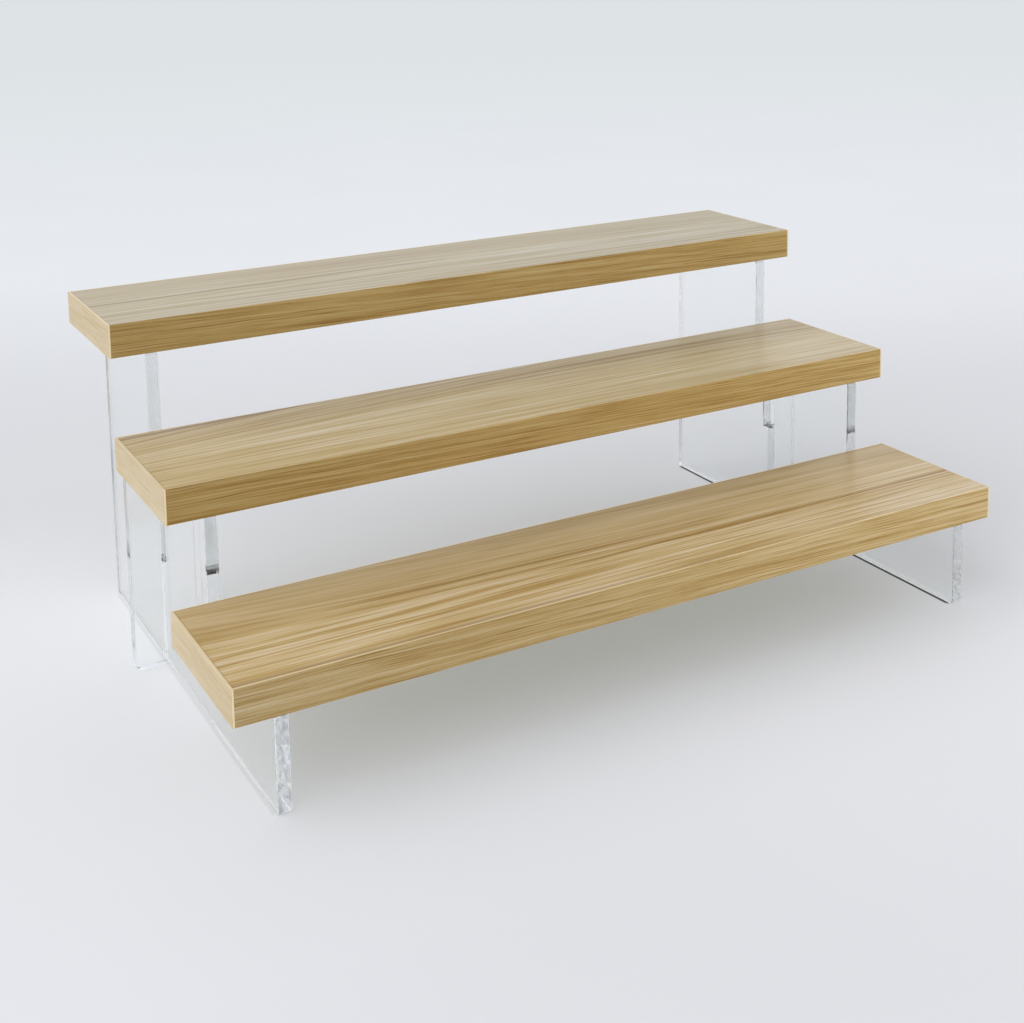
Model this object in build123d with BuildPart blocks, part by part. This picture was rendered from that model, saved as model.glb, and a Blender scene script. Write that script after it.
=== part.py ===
from build123d import *
import os

# Tiered shelf riser: three equal wood-look shelves lie on two clear stepped end plates. A small
# cross brace, hooked into a slot in each end plate, props that plate from its outer side.
#
# Frame: X along the shelves, Y towards the back (the highest shelf), Z up. The origin is on the
# floor, midway along the length and midway from front to back. All sizes are in millimetres.

# Shelves: a core board, a laminate on each face, and bands on the four edges.
shelf_names = ("lower", "middle", "upper")
shelf_length = 400.0
shelf_depth = 78.0
shelf_thickness = 16.0
laminate_thickness = 0.8
band_thickness = 1.0
band_edge_radius = 0.4

# Steps: how far each shelf lies behind and above the one before it.
step_run = 79.5
step_rise = 53.0
first_underside = 42.0

# Clear acrylic sheet for the end plates and the braces.
sheet_thickness = 6.0
sheet_edge_bevel = 0.3
plate_inset = 20.0
plate_setback = 1.0
plate_corner_radius = 2.0

# Cross braces: how far each stands out from its plate, how far its front lies behind the lower
# shelf's front, the height of the shoulder under its hook, and the slot's room around that hook.
brace_reach = 15.5
brace_corner_radius = 2.5
brace_front = 146.0
hook_height = 53.0
slot_clearance = 0.1
slot_floor_gap = 2.5

# Worked out from the sizes above.
last_step = len(shelf_names) - 1
overall_depth = last_step * step_run + shelf_depth
front_y = -overall_depth / 2
back_y = overall_depth / 2
plate_x = shelf_length / 2 - plate_inset
core_length = shelf_length - 2 * band_thickness
core_depth = shelf_depth - 2 * band_thickness
core_thickness = shelf_thickness - 2 * laminate_thickness
undersides = [first_underside + step * step_rise for step in range(len(shelf_names))]
fronts = [front_y + step * step_run for step in range(len(shelf_names))]
brace_y = front_y + brace_front + sheet_thickness / 2
brace_height = undersides[1]
plate_outer_x = plate_x + sheet_thickness / 2
plate_inner_x = plate_x - sheet_thickness / 2
slot_width = sheet_thickness + 2 * slot_clearance
slot_depth = brace_height - hook_height + slot_floor_gap

os.makedirs("parts", exist_ok=True)


def write_piece(piece, label):
    """Name a finished piece and write it as its own STEP file."""
    piece.label = label
    export_step(piece, f"parts/{label}.step")


# Left end plate: one stepped sheet, its outward corners rounded, with a slot for the brace that
# runs down from the middle step.
step_corners = []
for step_front, underside in zip(fronts, undersides):
    riser_y = step_front + plate_setback
    step_corners.append((riser_y, underside))
    step_corners.append((riser_y + step_run, underside))
top_back_corner = (back_y, undersides[-1])
outline = [(step_corners[0][0], 0), *step_corners[:-1], top_back_corner, (back_y, 0)]
inner_corners = step_corners[1:-1:2]

with BuildPart() as left_step_plate:
    with BuildSketch(Plane.YZ.offset(-plate_x - sheet_thickness / 2)) as stepped_profile:
        with BuildLine():
            Polyline(*outline, close=True)
        make_face()
        with Locations(Vector(brace_y, brace_height)):
            Rectangle(slot_width, 2 * slot_depth, mode=Mode.SUBTRACT)
    extrude(amount=sheet_thickness)
    outer_corner_edges = []
    for y, z in outline:
        if (y, z) not in inner_corners:
            corner = Vector(-plate_x, y, z)
            outer_corner_edges.append(left_step_plate.edges().filter_by(Axis.X).sort_by_distance(corner)[0])
    fillet(outer_corner_edges, plate_corner_radius)
    chamfer(left_step_plate.faces().filter_by(Axis.X).edges(), sheet_edge_bevel)
write_piece(left_step_plate.part, "left_step_plate")

with BuildPart() as right_step_plate:
    mirror(left_step_plate.part, about=Plane.YZ)
write_piece(right_step_plate.part, "right_step_plate")

# Left cross brace: a sheet that stands on the floor beside the end plate and reaches the middle
# shelf's underside. The hook at its top fills the plate's slot, flush with the inner face.
brace_outline = [
    (-plate_inner_x, brace_height),
    (-plate_outer_x - brace_reach, brace_height),
    (-plate_outer_x - brace_reach, 0),
    (-plate_outer_x - slot_clearance, 0),
    (-plate_outer_x - slot_clearance, hook_height),
    (-plate_inner_x, hook_height),
]

with BuildPart() as left_cross_brace:
    with BuildSketch(Plane.XZ.offset(-brace_y)) as brace_profile:
        with BuildLine():
            Polyline(*brace_outline, close=True)
        make_face()
        outer_foot = brace_profile.vertices().group_by(Axis.Z)[0].sort_by(Axis.X)[0]
        fillet(outer_foot, brace_corner_radius)
    extrude(amount=sheet_thickness / 2, both=True)
    chamfer(left_cross_brace.faces().filter_by(Axis.Y).edges(), sheet_edge_bevel)
write_piece(left_cross_brace.part, "left_cross_brace")

with BuildPart() as right_cross_brace:
    mirror(left_cross_brace.part, about=Plane.YZ)
write_piece(right_cross_brace.part, "right_cross_brace")

# Shelves. The end bands run over the ends of the front and back bands, and all the bands' outer
# edges are eased by trimming each band to one softened block of the shelf's full size.
for name, shelf_front, underside in zip(shelf_names, fronts, undersides):
    shelf_y = shelf_front + shelf_depth / 2
    shelf_base = Plane(origin=(0, shelf_y, underside))

    with BuildPart() as core_board:
        with BuildSketch(shelf_base.offset(laminate_thickness)):
            Rectangle(core_length, core_depth)
        extrude(amount=core_thickness)
    write_piece(core_board.part, f"{name}_shelf_core_board")

    with BuildPart() as bottom_laminate:
        with BuildSketch(shelf_base):
            Rectangle(core_length, core_depth)
        extrude(amount=laminate_thickness)
    write_piece(bottom_laminate.part, f"{name}_shelf_bottom_laminate")

    with BuildPart() as top_laminate:
        with BuildSketch(shelf_base.offset(shelf_thickness - laminate_thickness)):
            Rectangle(core_length, core_depth)
        extrude(amount=laminate_thickness)
    write_piece(top_laminate.part, f"{name}_shelf_top_laminate")

    with BuildPart() as softened_block:
        with BuildSketch(shelf_base):
            Rectangle(shelf_length, shelf_depth)
        extrude(amount=shelf_thickness)
        fillet(softened_block.edges(), band_edge_radius)

    for side, direction in (("front", -1), ("back", 1)):
        with BuildPart() as long_band:
            with BuildSketch(shelf_base):
                with Locations((0, direction * (shelf_depth - band_thickness) / 2)):
                    Rectangle(core_length, band_thickness)
            extrude(amount=shelf_thickness)
            add(softened_block.part, mode=Mode.INTERSECT)
        write_piece(long_band.part, f"{name}_shelf_{side}_band")

    for side, direction in (("left", -1), ("right", 1)):
        with BuildPart() as end_band:
            with BuildSketch(shelf_base):
                with Locations((direction * (shelf_length - band_thickness) / 2, 0)):
                    Rectangle(band_thickness, shelf_depth)
            extrude(amount=shelf_thickness)
            add(softened_block.part, mode=Mode.INTERSECT)
        write_piece(end_band.part, f"{name}_shelf_{side}_band")
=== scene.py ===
import math

import bpy
from mathutils import Matrix, Vector


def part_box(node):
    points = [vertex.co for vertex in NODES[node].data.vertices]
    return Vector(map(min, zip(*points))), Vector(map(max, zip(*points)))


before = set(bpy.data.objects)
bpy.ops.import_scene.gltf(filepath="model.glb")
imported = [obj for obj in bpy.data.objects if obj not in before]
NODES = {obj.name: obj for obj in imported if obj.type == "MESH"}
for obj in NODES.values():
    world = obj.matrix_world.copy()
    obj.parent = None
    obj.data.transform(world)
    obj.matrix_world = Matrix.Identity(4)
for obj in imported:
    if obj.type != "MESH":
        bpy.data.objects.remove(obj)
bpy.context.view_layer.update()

# Tiered shelf riser: three wood-look shelves on two clear stands, in a pale studio. Every CAD node keeps
# its shape and gets a procedural material. Materials measure in millimetres, along the frame's own axes.

MM = 0.001
SHELVES = ("lower", "middle", "upper")


def corners(node):
    """A node's lowest and highest corner at rest, in millimetres."""
    low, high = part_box(node)
    return low / MM, high / MM


PLATE_LOW, PLATE_HIGH = corners("right_step_plate")
BRACE_LOW, BRACE_HIGH = corners("right_cross_brace")
BAND_LOW, BAND_HIGH = corners("lower_shelf_right_band")
HALF_LENGTH = BAND_HIGH.x
SHELF_DEPTH = BAND_HIGH.y - BAND_LOW.y


# --- shader helpers -------------------------------------------------------------------------

class Tree:
    """Adds nodes to one material or world with short calls. Any value is a number or a node's socket."""

    def __init__(self, owner):
        owner.use_nodes = True
        self.nodes = owner.node_tree.nodes
        self.links = owner.node_tree.links
        self.nodes.clear()

    def put(self, socket, value):
        """Link a socket into an input, or set the input to a plain value."""
        if isinstance(value, bpy.types.NodeSocket):
            self.links.new(value, socket)
        elif value is not None:
            socket.default_value = value

    def add(self, kind, inputs=None, **settings):
        node = self.nodes.new(kind)
        for name, value in settings.items():
            setattr(node, name, value)
        for name, value in (inputs or {}).items():
            self.put(node.inputs[name], value)
        return node

    def maths(self, operation, a, b=None, c=None):
        node = self.nodes.new("ShaderNodeMath")
        node.operation = operation
        for socket, value in zip(node.inputs, (a, b, c)):
            self.put(socket, value)
        return node.outputs[0]

    def times(self, product, *factors):
        for factor in factors:
            product = self.maths("MULTIPLY", product, factor)
        return product

    def remap(self, value, low, high, to_low=0.0, to_high=1.0, smooth=True):
        """Carry low..high over to to_low..to_high, held at either end."""
        node = self.nodes.new("ShaderNodeMapRange")
        node.interpolation_type = "SMOOTHSTEP" if smooth else "LINEAR"
        for socket, item in zip(node.inputs, (value, low, high, to_low, to_high)):
            self.put(socket, item)
        return node.outputs[0]

    def within(self, value, low, high, blur=0.2):
        """1 where a value lies between two bounds, 0 outside."""
        rise = self.remap(value, low - blur, low + blur)
        return self.times(rise, self.remap(value, high - blur, high + blur, 1.0, 0.0))

    def left_to_right(self, x, left, right):
        """One value at the left stand and another at the right stand."""
        return self.remap(x, -0.5 * HALF_LENGTH, 0.5 * HALF_LENGTH, left, right)

    def mix(self, factor, a, b, blend="MIX"):
        node = self.nodes.new("ShaderNodeMix")
        node.data_type = "RGBA"
        node.blend_type = blend
        self.put(node.inputs["Factor"], factor)
        self.put(node.inputs["A"], a)
        self.put(node.inputs["B"], b)
        return node.outputs["Result"]

    def tinted(self, colour, tint):
        return self.mix(1.0, colour, tint, "MULTIPLY")

    def shaded(self, colour, brightness):
        return self.tinted(colour, self.combine(brightness, brightness, brightness))

    def noise(self, vector, scale=1.0, detail=2.0, roughness=0.5, distortion=0.0):
        return self.add("ShaderNodeTexNoise", {
            "Vector": vector, "Scale": scale, "Detail": detail,
            "Roughness": roughness, "Distortion": distortion}).outputs["Fac"]

    def combine(self, x, y, z):
        return self.add("ShaderNodeCombineXYZ", {"X": x, "Y": y, "Z": z}).outputs[0]

    def place(self):
        """The point on the piece, in millimetres, as x, y, z."""
        point = self.add("ShaderNodeTexCoord").outputs["Object"]
        split = self.add("ShaderNodeSeparateXYZ", {"Vector": point})
        return [self.times(axis, 1 / MM) for axis in split.outputs]

    def facing(self):
        """How far the face points along x, y and z, each from 0 to 1."""
        normal = self.add("ShaderNodeTexCoord").outputs["Normal"]
        split = self.add("ShaderNodeSeparateXYZ", {"Vector": normal})
        return [self.maths("ABSOLUTE", axis) for axis in split.outputs]

    def bump(self, height, strength, distance):
        """A bumpy normal; distance is in millimetres."""
        return self.add("ShaderNodeBump", {
            "Height": height, "Strength": strength, "Distance": distance * MM}).outputs[0]

    def blend(self, share, one, other):
        """A share of the other shader over the first."""
        return self.add("ShaderNodeMixShader", {0: share, 1: one, 2: other}).outputs[0]

    def finish(self, shader, output="ShaderNodeOutputMaterial"):
        self.add(output, {"Surface": shader})


def rgb(r, g, b):
    return (r, g, b, 1.0)


WHITE = rgb(1.0, 1.0, 1.0)
BLACK = rgb(0.0, 0.0, 0.0)


# --- wood-look decor ------------------------------------------------------------------------

PALE = rgb(0.57, 0.43, 0.24)
GOLDEN = rgb(0.46, 0.315, 0.135)
CREAM = rgb(0.80, 0.66, 0.43)
GLUE = rgb(0.25, 0.145, 0.050)
# Painted shadow, laid where the plates press on the shelves' undersides and beside each plate's foot.
PAINTED_SHADOW = rgb(0.07, 0.05, 0.045)
# What one coat of stain leaves of red, green and blue. Bleaching is weaker, and it stops at a limit.
STAIN = (0.70, 0.585, 0.30)
BLEACH_RATE = 0.6
MOST_BLEACH = 0.6


def stain(tree, colour, depth):
    """Darken a colour by so many coats of wood stain; a depth below zero bleaches it."""
    bleach = tree.maths("MAXIMUM", tree.times(depth, BLEACH_RATE), -MOST_BLEACH)
    eased = tree.maths("MAXIMUM", depth, bleach)
    coats = [tree.maths("POWER", share, eased) for share in STAIN]
    return tree.tinted(colour, tree.combine(*coats))


class Grain:
    """The run of the grain over one face: along it, across it, and across it once it has been bent."""

    def __init__(self, tree, along, across, seed, look):
        self.tree = tree
        self.along = along
        self.across = across
        self.seed = seed
        self.bent = self.bend(look)

    def patches(self, across, length, width, offset, detail, roughness):
        x = self.tree.times(self.along, 1.0 / length)
        y = self.tree.times(across, 1.0 / width)
        return self.tree.noise(self.tree.combine(x, y, self.seed + offset), 1.0, detail, roughness)

    def cloud(self, length, width, offset):
        """Soft patches of about this length and width. Each offset gives a different pattern."""
        return self.patches(self.across, length, width, offset, 2.0, 0.55)

    def strand(self, length, width, offset):
        """Crisp streaks of about this length and width, which follow the bent grain."""
        return self.patches(self.bent, length, width, offset, 3.5, 0.62)

    def bend(self, look):
        """Ripples everywhere, and a bow that is full at the back and gone at the front."""
        tree = self.tree
        loose = tree.remap(self.across, 0.12 * SHELF_DEPTH, 0.75 * SHELF_DEPTH, 1.0, 0.0)
        reach = tree.maths("DIVIDE", tree.maths("SUBTRACT", self.along, look["crest"]), HALF_LENGTH)
        bow = tree.times(reach, reach, look["bow"])
        waver = self.cloud(look["waver"], 16.0, 9.0)
        ripple = tree.maths("MULTIPLY_ADD", waver, look["ripple"], self.across)
        return tree.maths("SUBTRACT", ripple, tree.times(bow, loose))


def streak_depth(grain, strands):
    """Stain of the streaks at every scale, about zero on average."""
    depth = -0.5 * sum(amount for _, _, amount in strands)
    for number, (length, width, amount) in enumerate(strands):
        streaks = grain.strand(length, width, 40.0 + 7.0 * number)
        depth = grain.tree.maths("MULTIPLY_ADD", streaks, amount, depth)
    return depth


def growth_rings(grain, ring_width):
    """Patchy ring lines, darkest just before each ring ends; every ring has its own strength."""
    tree = grain.tree
    straight = tree.maths("DIVIDE", grain.bent, ring_width)
    field = tree.maths("MULTIPLY_ADD", grain.cloud(330.0, 60.0, 3.0), 2.6, straight)
    number = tree.maths("ADD", tree.maths("FLOOR", field), grain.seed)
    part = tree.maths("FRACT", field)
    own = tree.add("ShaderNodeTexWhiteNoise", {"W": number}, noise_dimensions="1D")
    strength = tree.maths("POWER", own.outputs["Value"], 2.0)
    rise = tree.maths("POWER", part, 3.0)
    drop = tree.remap(part, 0.88, 1.0, 1.0, 0.0)
    patchy = tree.remap(grain.cloud(60.0, 9.0, 21.0), 0.38, 0.64)
    return tree.times(rise, drop, strength, patchy)


def vein_line(grain, at, start, stop, depth):
    """A long dark line at a place across the grain, crisp on one side, soft on the other and at its ends."""
    tree = grain.tree
    end_fade = 45.0
    soft = tree.remap(grain.bent, at - 3.2, at)
    crisp = tree.remap(grain.bent, at, at + 0.7, 1.0, 0.0)
    begin = tree.remap(grain.along, start, start + end_fade)
    end = tree.remap(grain.along, stop - end_fade, stop, 1.0, 0.0)
    return tree.times(tree.maths("POWER", soft, 1.8), crisp, begin, end, depth)


def wood_decor(tree, along, across, seed, look, veins=()):
    """Straight-grained light oak, as (colour, height); across is 0 at the back of a shelf's face."""
    grain = Grain(tree, along, across, seed, look)
    depth = streak_depth(grain, look["strands"])
    length, width, amount = look["dashes"]
    dashes = tree.remap(grain.strand(length, width, 71.0), 0.54, 0.68)
    depth = tree.maths("MULTIPLY_ADD", dashes, amount, depth)
    depth = tree.maths("MULTIPLY_ADD", growth_rings(grain, look["ring"]), look["rings"], depth)
    livelier = tree.remap(across, 0.15 * SHELF_DEPTH, 0.7 * SHELF_DEPTH, look["quiet"], 1.0)
    depth = tree.times(depth, livelier)
    for vein in veins:
        depth = tree.maths("ADD", vein_line(grain, *vein), depth)
    pore = tree.remap(grain.strand(4.0, 0.32, 61.0), 0.58, 0.72)
    depth = tree.maths("MULTIPLY_ADD", pore, look["pores"], depth)

    warm = tree.remap(grain.cloud(240.0, 26.0, 31.0), 0.35, 0.68, *look["warm"])
    colour = stain(tree, tree.mix(warm, PALE, GOLDEN), depth)
    fine = grain.strand(22.0, 0.6, 51.0)
    height = tree.maths("MULTIPLY_ADD", pore, -0.6, tree.times(fine, -0.4))
    return colour, height


# How each kind of face looks:
# - strands: (length, width, depth of stain) for each scale of streak; dashes: the same for short flecks
# - ring, rings: how far apart the ring lines lie, and how dark they are; pores: how dark the pores are
# - waver, ripple: how long the grain's ripples are, and how far they swing
# - crest, bow: where along the face the bowed grain crests, and how far it bows
# - quiet: the share of the figure that is left at the back
# - warm: how golden the palest and the warmest patches are
TOP_LOOK = {
    "strands": ((300.0, 11.0, 2.3), (190.0, 3.2, 5.0), (80.0, 1.2, 4.2), (50.0, 0.7, 2.0)),
    "dashes": (80.0, 1.3, 0.7), "ring": 5.0, "rings": 0.9, "pores": 0.25,
    "waver": 90.0, "ripple": 1.6, "warm": (0.15, 0.85),
}
BAND_LOOK = {
    "strands": ((110.0, 7.0, 0.9), (140.0, 2.2, 3.2), (75.0, 0.7, 3.7)),
    "dashes": (55.0, 0.45, 1.7), "ring": 2.6, "rings": 1.0, "pores": 0.6,
    "waver": 40.0, "ripple": 1.2, "warm": (0.4, 0.65), "crest": 0.0, "bow": 1.0, "quiet": 1.0,
}
END_LOOK = {
    "strands": ((90.0, 7.0, 0.8), (45.0, 2.6, 1.1), (20.0, 1.0, 1.5)),
    "dashes": (20.0, 0.8, 0.3), "ring": 3.4, "rings": 0.4, "pores": 0.3,
    "waver": 60.0, "ripple": 1.2, "warm": (0.3, 0.7), "crest": 0.0, "bow": 1.0, "quiet": 1.0,
}

# Each top's own figure. Contrast scales its streaks and rings.
TOP_FIGURE = {
    "lower": {"crest": 190.0, "bow": -5.0, "quiet": 0.45, "contrast": 1.0},
    "middle": {"crest": 60.0, "bow": 13.0, "quiet": 1.3, "contrast": 0.62},
    "upper": {"crest": -20.0, "bow": 5.0, "quiet": 0.40, "contrast": 0.95},
}
# Single dark veins in each top: (place across from the back, start along, stop along, depth of stain).
TOP_VEINS = {
    "lower": ((49.5, -60.0, 260.0, 1.6), (41.0, -160.0, 30.0, 1.1)),
    "middle": ((13.0, -230.0, 170.0, 1.1), (19.0, -120.0, 250.0, 1.3)),
    "upper": ((37.0, -260.0, 20.0, 1.8),),
}


def top_look(shelf):
    """The look of one shelf's faces, with that shelf's own figure."""
    figure = TOP_FIGURE[shelf]
    contrast = figure["contrast"]
    strands = [(length, width, depth * contrast) for length, width, depth in TOP_LOOK["strands"]]
    return {**TOP_LOOK, **figure, "strands": strands, "rings": TOP_LOOK["rings"] * contrast}


# --- boards and bands -----------------------------------------------------------------------

# Each shelf's tints, which paint in the light and shade its faces get, and its painted brightness at the
# left end and at the right end.
TOP_LIGHT_TINT = {
    "lower": rgb(1.05, 1.04, 0.98),
    "middle": rgb(1.02, 1.08, 1.12),
    "upper": rgb(0.75, 0.83, 0.90),
}
TOP_PAINTED_LIGHT_ENDS = {"lower": (1.0, 0.96), "middle": (1.05, 0.87), "upper": (0.99, 0.90)}
FRONT_SHADE_TINT = {
    "lower": rgb(0.97, 0.94, 0.76),
    "middle": rgb(0.83, 0.75, 0.44),
    "upper": rgb(0.79, 0.72, 0.415),
}
FRONT_PAINTED_LIGHT_ENDS = {"lower": (0.84, 1.15), "middle": (0.86, 1.16), "upper": (0.90, 1.12)}
# The end bands' tint: partly their own paler wood, partly painted sheen.
END_PALE_AND_SHEEN_TINT = rgb(0.99, 1.06, 1.20)
# How much of the band's cream body its thin edges along the top and bottom show.
FRONT_RIM = {"lower": 0.6, "middle": 0.3, "upper": 0.15}
END_RIM = 0.55

GILT = rgb(0.86, 0.80, 0.68)
UNDERSIDE = rgb(0.60, 0.61, 0.45)
UNDERSIDE_SHARE = 0.8

# Glue lines behind the front band and before the back band of each shelf: their width, where they
# start and stop fading along X, and their strength there.
FULL = (-HALF_LENGTH, HALF_LENGTH)
GLUE_LINES = {
    "lower": ((2.8, (-120.0, 120.0), (0.62, 0.12)), (0.8, FULL, (0.45, 0.35))),
    "middle": ((0.8, FULL, (0.25, 0.25)), (0.8, FULL, (0.45, 0.35))),
    "upper": ((0.8, FULL, (0.25, 0.25)), (0.8, FULL, (0.45, 0.45))),
}
END_GLUE = 0.45


def paint_light_along(tree, x, colour, left, right):
    """Painted light: brightness changing evenly from the left end of the shelf to the right end."""
    return tree.shaded(colour, tree.remap(x, *FULL, left, right, smooth=False))


def satin(tree, colour, height, roughness):
    """A lacquered board's soft shine."""
    tree.finish(tree.add("ShaderNodeBsdfPrincipled", {
        "Base Color": colour, "Roughness": roughness, "IOR": 1.5,
        "Normal": tree.bump(height, 0.35, 0.06)}).outputs[0])


def glue_lines(tree, x, y, colour, shelf):
    """Dark glue around a laminate, where it meets the four edge bands."""
    low, high = corners(f"{shelf}_shelf_top_laminate")
    to_end = tree.maths("SUBTRACT", high.x, tree.maths("ABSOLUTE", x))
    colour = tree.mix(tree.remap(to_end, 0.2, 0.8, END_GLUE, 0.0), colour, GLUE)
    gaps = (tree.maths("SUBTRACT", y, low.y), tree.maths("SUBTRACT", high.y, y))
    for gap, (width, reach, strengths) in zip(gaps, GLUE_LINES[shelf]):
        line = tree.remap(gap, 0.6 * width, width, 1.0, 0.0)
        colour = tree.mix(tree.times(line, tree.remap(x, *reach, *strengths)), colour, GLUE)
    return colour


def contact_shade(tree, x, y, shelf):
    """Painted shade on a shelf's underside, where the clear plates, and under the middle shelf their braces,
    press on it.
    """
    apart = tree.maths("ABSOLUTE", x)
    inside = tree.within(apart, PLATE_LOW.x, PLATE_HIGH.x)
    if shelf == "middle":
        beside = tree.within(apart, BRACE_LOW.x, BRACE_HIGH.x)
        over_brace = tree.times(beside, tree.within(y, BRACE_LOW.y, BRACE_HIGH.y))
        inside = tree.maths("MAXIMUM", inside, over_brace)
    return tree.times(inside, 0.8)


def trim_line(tree, x, to_back):
    """A dark line on the middle top that leaves the back edge and runs a little inwards to the left end."""
    centre = tree.remap(x, -HALF_LENGTH, -115.0, 4.4, 0.4, smooth=False)
    apart = tree.maths("ABSOLUTE", tree.maths("SUBTRACT", to_back, centre))
    return tree.times(tree.remap(apart, 0.8, 2.1, 0.95, 0.0), tree.remap(x, -125.0, -95.0, 1.0, 0.0))


def laminate_material(name, seed, shelf, underneath=False):
    """Decor of a shelf's top, more golden towards the back, or of its plainer underside."""
    material = bpy.data.materials.new(name)
    tree = Tree(material)
    x, y, _ = tree.place()
    back_y = corners(f"{shelf}_shelf_top_laminate")[1].y
    to_back = tree.maths("SUBTRACT", back_y, y)
    veins = () if underneath else TOP_VEINS[shelf]
    colour, height = wood_decor(tree, x, to_back, seed, top_look(shelf), veins)
    gilded = tree.remap(to_back, 6.0, 46.0, 0.75, 0.0)
    colour = tree.mix(gilded, colour, tree.tinted(colour, GILT))
    # Painted light and shade: the top's tint, and its brightness from the left end to the right end.
    colour = tree.tinted(colour, WHITE if underneath else TOP_LIGHT_TINT[shelf])
    colour = paint_light_along(tree, x, colour, *TOP_PAINTED_LIGHT_ENDS[shelf])
    if underneath:
        colour = tree.mix(UNDERSIDE_SHARE, colour, UNDERSIDE)
    colour = glue_lines(tree, x, y, colour, shelf)
    # Painted shade where the plates and braces press on the underside.
    if underneath:
        colour = tree.mix(contact_shade(tree, x, y, shelf), colour, PAINTED_SHADOW)
    elif shelf == "middle":
        colour = tree.mix(trim_line(tree, x, to_back), colour, GLUE)
    satin(tree, colour, height, 0.30)
    return material


def band_material(name, seed, look, tint=WHITE, rim=1.0, painted_light_ends=(1.0, 1.0)):
    """Edge band: decor on its broad face, and the cream of its body on the thin cut edges."""
    material = bpy.data.materials.new(name)
    tree = Tree(material)
    x, y, z = tree.place()
    across_x, across_y, across_z = tree.facing()
    on_end = look is END_LOOK
    along, outward = (y, across_x) if on_end else (x, across_y)
    slant = tree.maths("MULTIPLY_ADD", along, 0.018, z)
    colour, height = wood_decor(tree, along, slant, seed, look)
    # Painted light and shade: the band's tint, and its brightness from the left end to the right end.
    colour = paint_light_along(tree, x, tree.tinted(colour, tint), *painted_light_ends)
    thin_edge = tree.remap(outward, 0.35, 0.75, 1.0, 0.0)
    level = tree.remap(across_z, 0.5, 0.8, 1.0, rim)
    colour = tree.mix(tree.times(thin_edge, level), colour, CREAM)
    satin(tree, colour, height, 0.34)
    return material


def core_material():
    """Raw fibreboard."""
    material = bpy.data.materials.new("fibreboard")
    tree = Tree(material)
    speck = tree.noise(tree.combine(*tree.place()), 1.2, 4.0, 0.7)
    colour = tree.mix(tree.remap(speck, 0.35, 0.65), rgb(0.36, 0.25, 0.15), rgb(0.52, 0.39, 0.25))
    tree.finish(tree.add("ShaderNodeBsdfPrincipled", {
        "Base Color": colour, "Roughness": 0.9, "Normal": tree.bump(speck, 0.6, 0.3)}).outputs[0])
    return material


# --- clear acrylic --------------------------------------------------------------------------

FACE_CLEAR = rgb(0.985, 0.995, 0.99)
EDGE_GREY = rgb(0.85, 0.87, 0.875)
FROST = rgb(0.90, 0.915, 0.92)
FROST_SHARE = 0.012
# Painted shade for the gap under each brace's hook.
POCKET_SHADE = rgb(0.035, 0.03, 0.035)
SHADOW_TINT = rgb(0.96, 0.968, 0.968)
GLEAM = rgb(0.96, 0.98, 1.0)
GLEAM_STRENGTH = 0.26
# Heights of the small gap under each brace's hook, a little more than its own floor and roof.
POCKET_FLOOR = 50.2
POCKET_ROOF = 53.1


def pocket_shade(tree, x, y, z, on_edge):
    """Walls of the small gap under a brace's hook, painted patchy dark as shade."""
    inside_y = tree.within(y, BRACE_LOW.y - 1.0, BRACE_HIGH.y + 1.0)
    inside_z = tree.within(z, POCKET_FLOOR, POCKET_ROOF)
    inside_x = tree.within(tree.maths("ABSOLUTE", x), PLATE_LOW.x - 0.5, PLATE_HIGH.x + 0.3)
    patchy = tree.remap(tree.noise(tree.combine(x, y, z), 0.7, 2.0), 0.36, 0.50)
    return tree.times(inside_y, inside_z, inside_x, patchy, tree.left_to_right(x, 1.0, 0.75), on_edge)


def edge_grey_and_shade(tree, x, y, z):
    """Tint of the cut edges: grey, with swirls of painted shade on the front edges, most at the left stand.
    """
    front = tree.remap(y, PLATE_LOW.y + 8.0, PLATE_LOW.y + 30.0, 1.0, 0.0)
    stretched = tree.combine(tree.times(x, 0.55), tree.times(y, 0.55), tree.times(z, 0.25))
    swirl = tree.noise(stretched, 1.0, 3.0, 0.6, 1.0)
    deepest = tree.left_to_right(x, 0.42, 0.73)
    palest = tree.left_to_right(x, 0.82, 0.95)
    shade = tree.mix(front, WHITE, tree.remap(swirl, 0.42, 0.58, deepest, palest))
    return tree.tinted(EDGE_GREY, shade)


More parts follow.
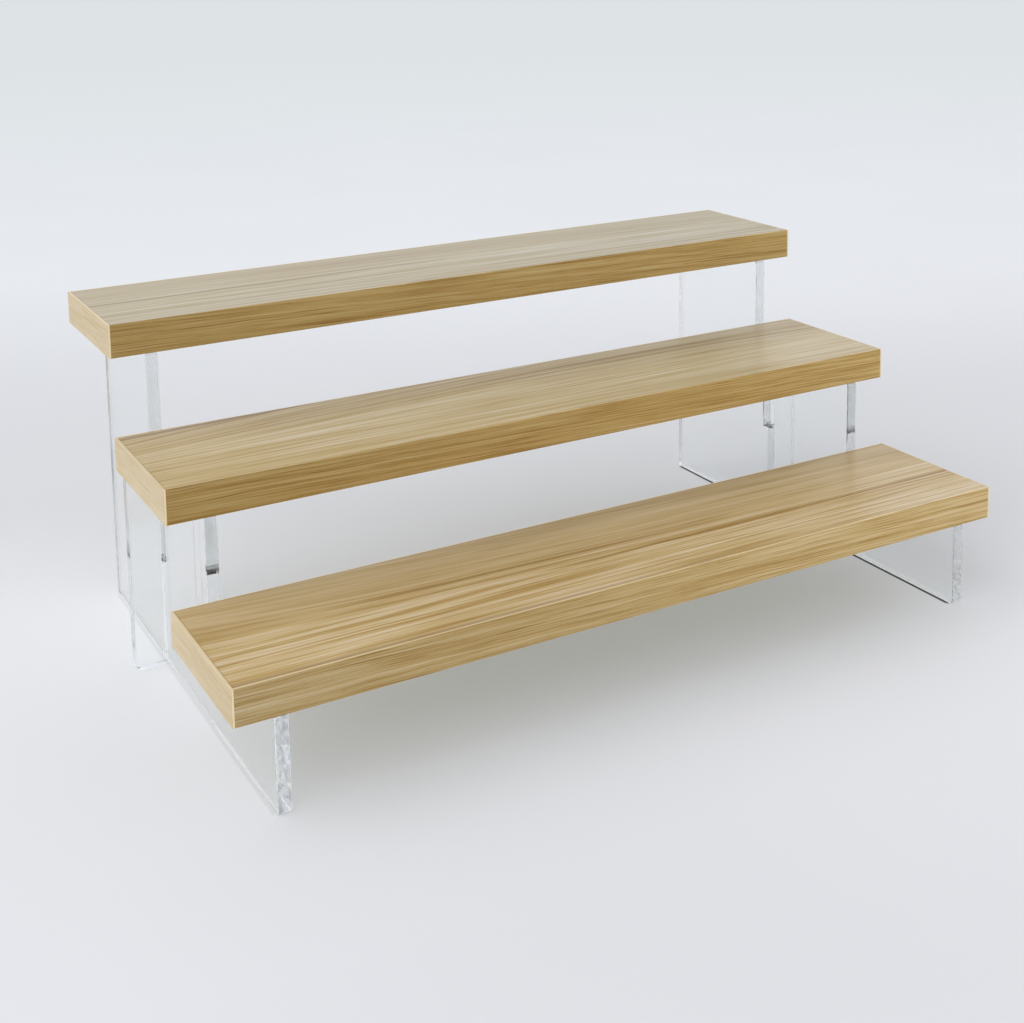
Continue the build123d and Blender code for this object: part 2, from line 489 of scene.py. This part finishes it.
def acrylic_material(name, sheet_axis):
    """Cast acrylic: glass-clear polished faces, and flame-polished cut edges, wavy and a little cloudy."""
    material = bpy.data.materials.new(name)
    tree = Tree(material)
    x, y, z = tree.place()
    on_edge = tree.remap(tree.facing()[sheet_axis], 0.3, 0.6, 1.0, 0.0)
    upright = tree.combine(tree.times(x, 0.5), tree.times(y, 0.5), tree.times(z, 0.045))
    waves = tree.noise(upright, 1.0, 3.0, 0.6)
    cloudy = tree.remap(tree.noise(tree.combine(x, y, z), 0.2), 0.35, 0.65, 0.02, 0.10)
    glass = tree.add("ShaderNodeBsdfPrincipled", {
        # The cut edges' grey, with painted shade on the front edges.
        "Base Color": tree.mix(on_edge, FACE_CLEAR, edge_grey_and_shade(tree, x, y, z)),
        "Roughness": tree.maths("MULTIPLY_ADD", on_edge, cloudy, 0.003),
        "Normal": tree.bump(waves, tree.times(on_edge, 0.17), 1.0),
        "IOR": 1.49, "Transmission Weight": 1.0}).outputs[0]
    frost = tree.add("ShaderNodeBsdfDiffuse", {"Color": FROST}).outputs[0]
    pocket_dark = tree.add("ShaderNodeBsdfDiffuse", {"Color": POCKET_SHADE}).outputs[0]
    body = tree.blend(tree.times(on_edge, FROST_SHARE), glass, frost)
    # Painted shade on the walls of the gap under each brace's hook.
    seen = tree.blend(pocket_shade(tree, x, y, z, on_edge), body, pocket_dark)

    # Lamps and sky shine straight through, so the sheets throw only a faint shadow.
    path = tree.add("ShaderNodeLightPath").outputs
    shadow = tree.add("ShaderNodeBsdfTransparent", {"Color": SHADOW_TINT}).outputs[0]
    both = tree.blend(path["Is Shadow Ray"], seen, shadow)
    # The studio light that the polished sheets mirror onto the floor and the shelves beside them.
    strength = tree.times(path["Is Diffuse Ray"], GLEAM_STRENGTH)
    gleam = tree.add("ShaderNodeEmission", {"Color": GLEAM, "Strength": strength}).outputs[0]
    material.cycles.emission_sampling = "NONE"
    tree.finish(tree.add("ShaderNodeAddShader", {0: both, 1: gleam}).outputs[0])
    return material


# --- dress the CAD nodes --------------------------------------------------------------------

def dress(node, material):
    for slot in NODES[node].material_slots:
        slot.material = material


def dress_shelf(shelf, seed, core):
    """One shelf's seven pieces, each face with its own seed."""
    piece = f"{shelf}_shelf_"
    dress(piece + "core_board", core)
    dress(piece + "top_laminate", laminate_material(f"{shelf}_top_decor", seed, shelf))
    dress(piece + "bottom_laminate", laminate_material(f"{shelf}_bottom_decor", seed + 5, shelf, True))
    front = (FRONT_SHADE_TINT[shelf], FRONT_RIM[shelf], FRONT_PAINTED_LIGHT_ENDS[shelf])
    dress(piece + "front_band", band_material(f"{shelf}_front_decor", seed + 7, BAND_LOOK, *front))
    dress(piece + "back_band", band_material(f"{shelf}_back_decor", seed + 9, BAND_LOOK))
    for side, offset in (("left", 11), ("right", 13)):
        decor = band_material(f"{shelf}_{side}_decor", seed + offset, END_LOOK, END_PALE_AND_SHEEN_TINT, END_RIM)
        dress(f"{piece}{side}_band", decor)


def dress_stands():
    plate_acrylic = acrylic_material("acrylic_plate", 0)
    brace_acrylic = acrylic_material("acrylic_brace", 1)
    for side in ("left", "right"):
        dress(f"{side}_step_plate", plate_acrylic)
        dress(f"{side}_cross_brace", brace_acrylic)


# --- studio ---------------------------------------------------------------------------------

# The floor is a disc, in metres, whose rings are closest together in the middle.
FLOOR_RADIUS = 12.0
FLOOR_RINGS = 24
FLOOR_SIDES = 64
FLOOR_NEAR = rgb(0.79, 0.79, 0.82)
FLOOR_FAR = rgb(0.76, 0.785, 0.805)
# What the camera sees past the floor, and what the floor fades into far away.
BACKDROP = rgb(0.73, 0.768, 0.787)
# The camera's heading, in degrees from the frame's Y axis towards X.
CAMERA_TURN = 29.22


def floor_mesh():
    mesh = bpy.data.meshes.new("floor")
    points = [(0.0, 0.0, 0.0)]
    for ring in range(1, FLOOR_RINGS + 1):
        radius = FLOOR_RADIUS * (ring / FLOOR_RINGS) ** 2
        for side in range(FLOOR_SIDES):
            turn = 2 * math.pi * side / FLOOR_SIDES
            points.append((radius * math.cos(turn), radius * math.sin(turn), 0.0))
    faces = []
    for side in range(FLOOR_SIDES):
        after = (side + 1) % FLOOR_SIDES
        faces.append((0, 1 + side, 1 + after))
        for ring in range(FLOOR_RINGS - 1):
            inner = 1 + ring * FLOOR_SIDES
            outer = inner + FLOOR_SIDES
            faces.append((inner + side, outer + side, outer + after, inner + after))
    mesh.from_pydata(points, [], faces)
    return mesh


def foot_shadow(tree, x, y):
    """A thin painted shadow on the floor along the left of each plate's foot: strong at the right plate,
    faint at the left.
    """
    middle = (PLATE_LOW.x + PLATE_HIGH.x) / 2
    half = (PLATE_HIGH.x - PLATE_LOW.x) / 2
    aside = tree.maths("SUBTRACT", x, tree.times(tree.maths("SIGN", x), middle))
    line = tree.within(aside, -half - 1.5, -half + 0.6, 0.15)
    run = tree.within(y, PLATE_LOW.y + 2.5, PLATE_HIGH.y - 2.5, 1.5)
    return tree.times(line, run, tree.left_to_right(x, 0.12, 0.97))


def sweep_shade(tree, x, y, colour):
    """The studio's own shading of the floor: a dim patch in front, and a dim band where the sweep bends."""
    turn = math.radians(CAMERA_TURN)
    ahead = tree.maths("ADD", tree.times(x, math.sin(turn)), tree.times(y, math.cos(turn)))
    aside = tree.maths("SUBTRACT", tree.times(x, math.cos(turn)), tree.times(y, math.sin(turn)))
    in_front = tree.remap(ahead, -300.0, -100.0, 1.0, 0.0)
    colour = tree.mix(tree.times(tree.remap(aside, -190.0, 0.0, 0.0, 0.05), in_front), colour, BLACK)
    bend = tree.times(tree.remap(ahead, -40.0, 150.0), tree.remap(ahead, 260.0, 760.0, 1.0, 0.0))
    return tree.mix(tree.times(bend, 0.12), colour, BLACK)


def floor_material():
    """Matt pale card that fades into the backdrop far away."""
    material = bpy.data.materials.new("floor_card")
    tree = Tree(material)
    x, y, _ = tree.place()
    level = tree.combine(x, y, 0.0)
    colour = tree.mix(tree.remap(y, -400.0, 2500.0), FLOOR_NEAR, FLOOR_FAR)
    colour = sweep_shade(tree, x, y, colour)
    # Painted shadow beside each plate's foot.
    colour = tree.mix(foot_shadow(tree, x, y), colour, PAINTED_SHADOW)
    mottle = tree.noise(level, 0.004, 3.0)
    colour = tree.shaded(colour, tree.remap(mottle, 0.3, 0.7, 0.985, 1.0))
    card = tree.add("ShaderNodeBsdfPrincipled", {
        "Base Color": colour, "Roughness": 0.7, "Specular IOR Level": 0.2,
        "Normal": tree.bump(tree.noise(level, 2.0), 0.1, 0.05)}).outputs[0]
    away = tree.add("ShaderNodeVectorMath", {0: level}, operation="LENGTH").outputs["Value"]
    backdrop = tree.add("ShaderNodeEmission", {"Color": BACKDROP}).outputs[0]
    material.cycles.emission_sampling = "NONE"
    tree.finish(tree.blend(tree.remap(away, 900.0, 4000.0), card, backdrop))
    return material


def make_floor():
    """A broad pale floor that reaches past the horizon of every view."""
    mesh = floor_mesh()
    mesh.materials.append(floor_material())
    floor = bpy.data.objects.new("floor", mesh)
    bpy.context.scene.collection.objects.link(floor)


STUDIO_LIGHT = rgb(0.92, 0.935, 0.95)
# A broad soft window beside the left end: the way it lies from the object, and how much it adds.
WINDOW = Vector((-0.887, -0.037, 0.460))
WINDOW_GAIN = 1.22


def make_world():
    """Studio light: brightest low down and at the left. What is mirrored or seen through is evener."""
    world = bpy.data.worlds.new("studio")
    bpy.context.scene.world = world
    tree = Tree(world)
    way = tree.add("ShaderNodeTexCoord").outputs["Generated"]
    x, y, z = tree.add("ShaderNodeSeparateXYZ", {"Vector": way}).outputs
    path = tree.add("ShaderNodeLightPath").outputs

    def background(colour, strength):
        return tree.add("ShaderNodeBackground", {"Color": colour, "Strength": strength}).outputs[0]

    low_bright = tree.remap(z, 0.15, 0.8, 1.67, 0.77)
    back_bright = tree.remap(y, -0.8, 0.8, 0.77, 0.84)
    side_bright = tree.remap(tree.maths("ABSOLUTE", x), 0.1, 0.9, 0.93, 1.09)
    walls = tree.times(low_bright, back_bright, side_bright)
    toward = tree.add("ShaderNodeVectorMath", {0: way, 1: WINDOW.normalized()}, operation="DOT_PRODUCT")
    window = tree.remap(toward.outputs["Value"], 0.5, 0.95)
    light = background(STUDIO_LIGHT, tree.maths("MULTIPLY_ADD", window, WINDOW_GAIN, walls))

    mild = tree.times(
        tree.remap(z, 0.0, 0.9, 1.26, 1.02),
        tree.remap(y, -0.9, 0.3, 0.88, 1.0),
        tree.remap(x, -0.8, 0.8, 1.06, 0.93))
    sharp = tree.maths("MAXIMUM", path["Is Glossy Ray"], path["Is Transmission Ray"])
    unseen = tree.blend(sharp, light, background(STUDIO_LIGHT, mild))

    # Through a sheet, the backdrop low down looks as it does beside the sheet.
    through = tree.times(path["Is Transmission Ray"], tree.remap(z, 0.13, 0.3, 1.0, 0.0))
    plain = tree.maths("MAXIMUM", path["Is Camera Ray"], through)
    tree.finish(tree.blend(plain, unseen, background(BACKDROP, 1.0)), "ShaderNodeOutputWorld")


def make_lamp(name, place, size, power, colour, aim):
    data = bpy.data.lights.new(name, "AREA")
    data.shape = "DISK"
    data.size = size
    data.energy = power
    data.color = colour
    lamp = bpy.data.objects.new(name, data)
    lamp.location = place
    lamp.rotation_euler = (Vector(aim) - Vector(place)).to_track_quat("-Z", "Y").to_euler()
    bpy.context.scene.collection.objects.link(lamp)


# The camera: its place in metres, how far it looks down and leans in degrees, and its lens.
CAMERA_PLACE = (-0.3652, -0.6384, 0.3414)
CAMERA_TILT = 8.295
CAMERA_LEAN = -0.891
FOCAL_LENGTH = 52.91
LENS_SHIFT = -0.3543


def make_camera():
    """Stands in front of the left end, a little above the top shelf, with a view camera's lens shift."""
    data = bpy.data.cameras.new("camera")
    camera = bpy.data.objects.new("camera", data)
    bpy.context.scene.collection.objects.link(camera)
    data.sensor_width = 36.0
    data.lens = FOCAL_LENGTH
    data.clip_start = 0.02
    data.clip_end = 60.0
    turn, tilt, lean = (math.radians(angle) for angle in (CAMERA_TURN, CAMERA_TILT, CAMERA_LEAN))
    level = math.cos(tilt)
    look = Vector((math.sin(turn) * level, math.cos(turn) * level, -math.sin(tilt)))
    aimed = look.to_track_quat("-Z", "Y").to_matrix()
    camera.location = CAMERA_PLACE
    camera.rotation_euler = (aimed @ Matrix.Rotation(lean, 3, "Z")).to_euler()
    bpy.context.scene.camera = camera
    shift_at_home(camera, LENS_SHIFT)


def shift_at_home(camera, shift):
    """Lens shift while the camera stands at its own place, and none once another view has moved it."""
    driver = camera.data.driver_add("shift_y").driver
    driver.type = "SCRIPTED"
    gaps = []
    for axis, start in zip("XYZ", camera.location):
        place = driver.variables.new()
        place.name = axis.lower()
        place.type = "TRANSFORMS"
        place.targets[0].id = camera
        place.targets[0].transform_type = f"LOC_{axis}"
        gaps.append(f"abs({place.name} - ({start:.4f}))")
    driver.expression = f"{shift} if {' + '.join(gaps)} < 0.001 else 0"


def set_up_render():
    """Enough bounces for light that runs inside the acrylic to its edges, and plain colours."""
    cycles = bpy.context.scene.cycles
    cycles.max_bounces = 40
    cycles.glossy_bounces = 32
    cycles.transmission_bounces = 32
    view = bpy.context.scene.view_settings
    view.view_transform = "Standard"
    view.look = "None"


core = core_material()
for number, shelf in enumerate(SHELVES):
    dress_shelf(shelf, 3.0 + 17.0 * number, core)
dress_stands()
make_floor()
make_world()
make_lamp("soft_top", (-0.6, 0.5, 1.6), 1.2, 1.6, (1.0, 0.99, 0.97), (0.0, 0.0, 0.08))
make_camera()
set_up_render()
